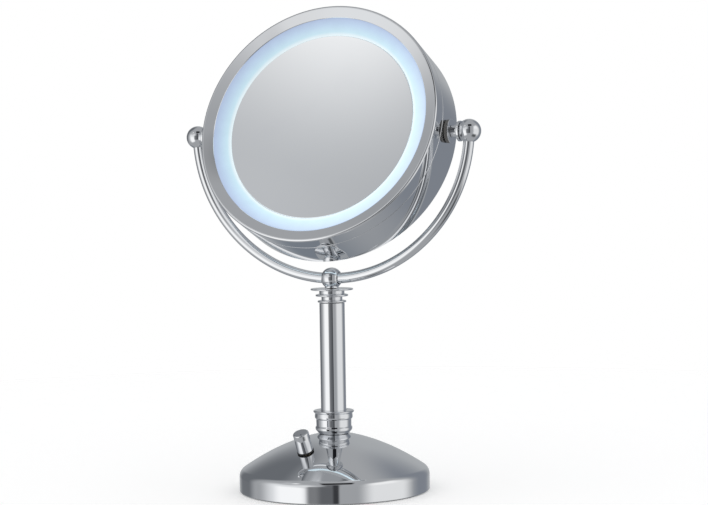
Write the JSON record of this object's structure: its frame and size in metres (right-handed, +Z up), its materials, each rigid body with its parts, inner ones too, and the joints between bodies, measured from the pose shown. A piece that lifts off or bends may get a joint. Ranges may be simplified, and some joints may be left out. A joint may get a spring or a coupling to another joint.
{
  "type": "lighted vanity mirror",
  "caption": "Free-standing round two-sided make-up mirror: tilting lit drum head on a half-round yoke, turned column and weighted domed base with a switch knob.",
  "frame": {"origin": "centre of the foot ring's underside, on the table, on the column's axis", "axes": "+Z up the column, -Y the way the front mirror faces, X along the head's pivots"},
  "size_m": [0.2802, 0.167, 0.4245],
  "materials": {
    "chrome": "polished chrome plate",
    "mirror": "silvered glass",
    "frosted_ring": "frosted, lit from behind",
    "white_plastic": "moulded satin",
    "black_plastic": "moulded, fine grain",
    "rubber": "matte",
    "cast_iron": "as cast, painted",
    "steel": "zinc plated",
    "brass": "machined",
    "cell_sleeve": "shrink sleeve",
    "circuit_board": "white solder mask",
    "wire_sleeve": "insulated wire"
  },
  "bodies": {
    "stand": {"base_shell": "chrome", "lower_collar": "chrome", "column_tube": "chrome", "upper_collar": "chrome", "centre_ball": "chrome", "yoke_arm_left": "chrome", "yoke_arm_right": "chrome", "pivot_ball_left": "chrome", "pivot_ball_right": "chrome", "pivot_bush_left": "chrome", "pivot_bush_right": "chrome", "pivot_pin_left": "steel", "pivot_pin_right": "steel", "tie_rod": "brass", "tie_rod_nut": "brass", "tie_rod_washer": "steel", "base_weight": "cast_iron", "base_cover": "black_plastic", "foot_ring": "rubber", "battery_holder": "black_plastic", "switch_body": "black_plastic", "switch_nut": "brass", "knob_washer": "rubber", "lead_wire": "wire_sleeve", "battery_lead": "wire_sleeve", "contact_strip_front": "steel", "contact_strip_rear": "steel", "cover_screw_1": "steel", "battery_cell_1": "cell_sleeve", "contact_spring_1": "steel", "cover_screw_2": "steel", "battery_cell_2": "cell_sleeve", "contact_spring_2": "steel", "cover_screw_3": "steel", "battery_cell_3": "cell_sleeve", "contact_spring_3": "steel", "cover_screw_4": "steel", "battery_cell_4": "cell_sleeve", "contact_spring_4": "steel"},
    "head": {"drum_shell": "chrome", "front_bezel": "chrome", "rear_bezel": "chrome", "front_mirror": "mirror", "rear_mirror": "mirror", "front_diffuser": "frosted_ring", "rear_diffuser": "frosted_ring", "mirror_core": "white_plastic", "light_ring": "circuit_board", "bearing_block_left": "black_plastic", "bearing_block_right": "black_plastic", "pivot_flange_left": "chrome", "pivot_flange_right": "chrome", "pivot_washer_left": "black_plastic", "pivot_washer_right": "black_plastic", "head_lead": "wire_sleeve"},
    "knob": {"knob_cap": "chrome", "switch_shaft": "steel"},
    "door": {"battery_door": "black_plastic"}
  },
  "joints": [
    {"name": "head_tilt", "type": "hinge", "parent": "stand", "child": "head", "pos_m": [0, 0, 0.3119], "axis": [1, 0, 0], "range_deg": [-180, 180]},
    {"name": "knob_turn", "type": "hinge", "parent": "stand", "child": "knob", "pos_m": [-0.0064, -0.04555, 0.03915], "axis": [0.0556, 0.3955, -0.9168], "range_deg": [0, 270]},
    {"name": "door_swing", "type": "hinge", "parent": "stand", "child": "door", "pos_m": [0, 0.0272, 0.004], "axis": [1, 0, 0], "range_deg": [0, 90]}
  ]
}
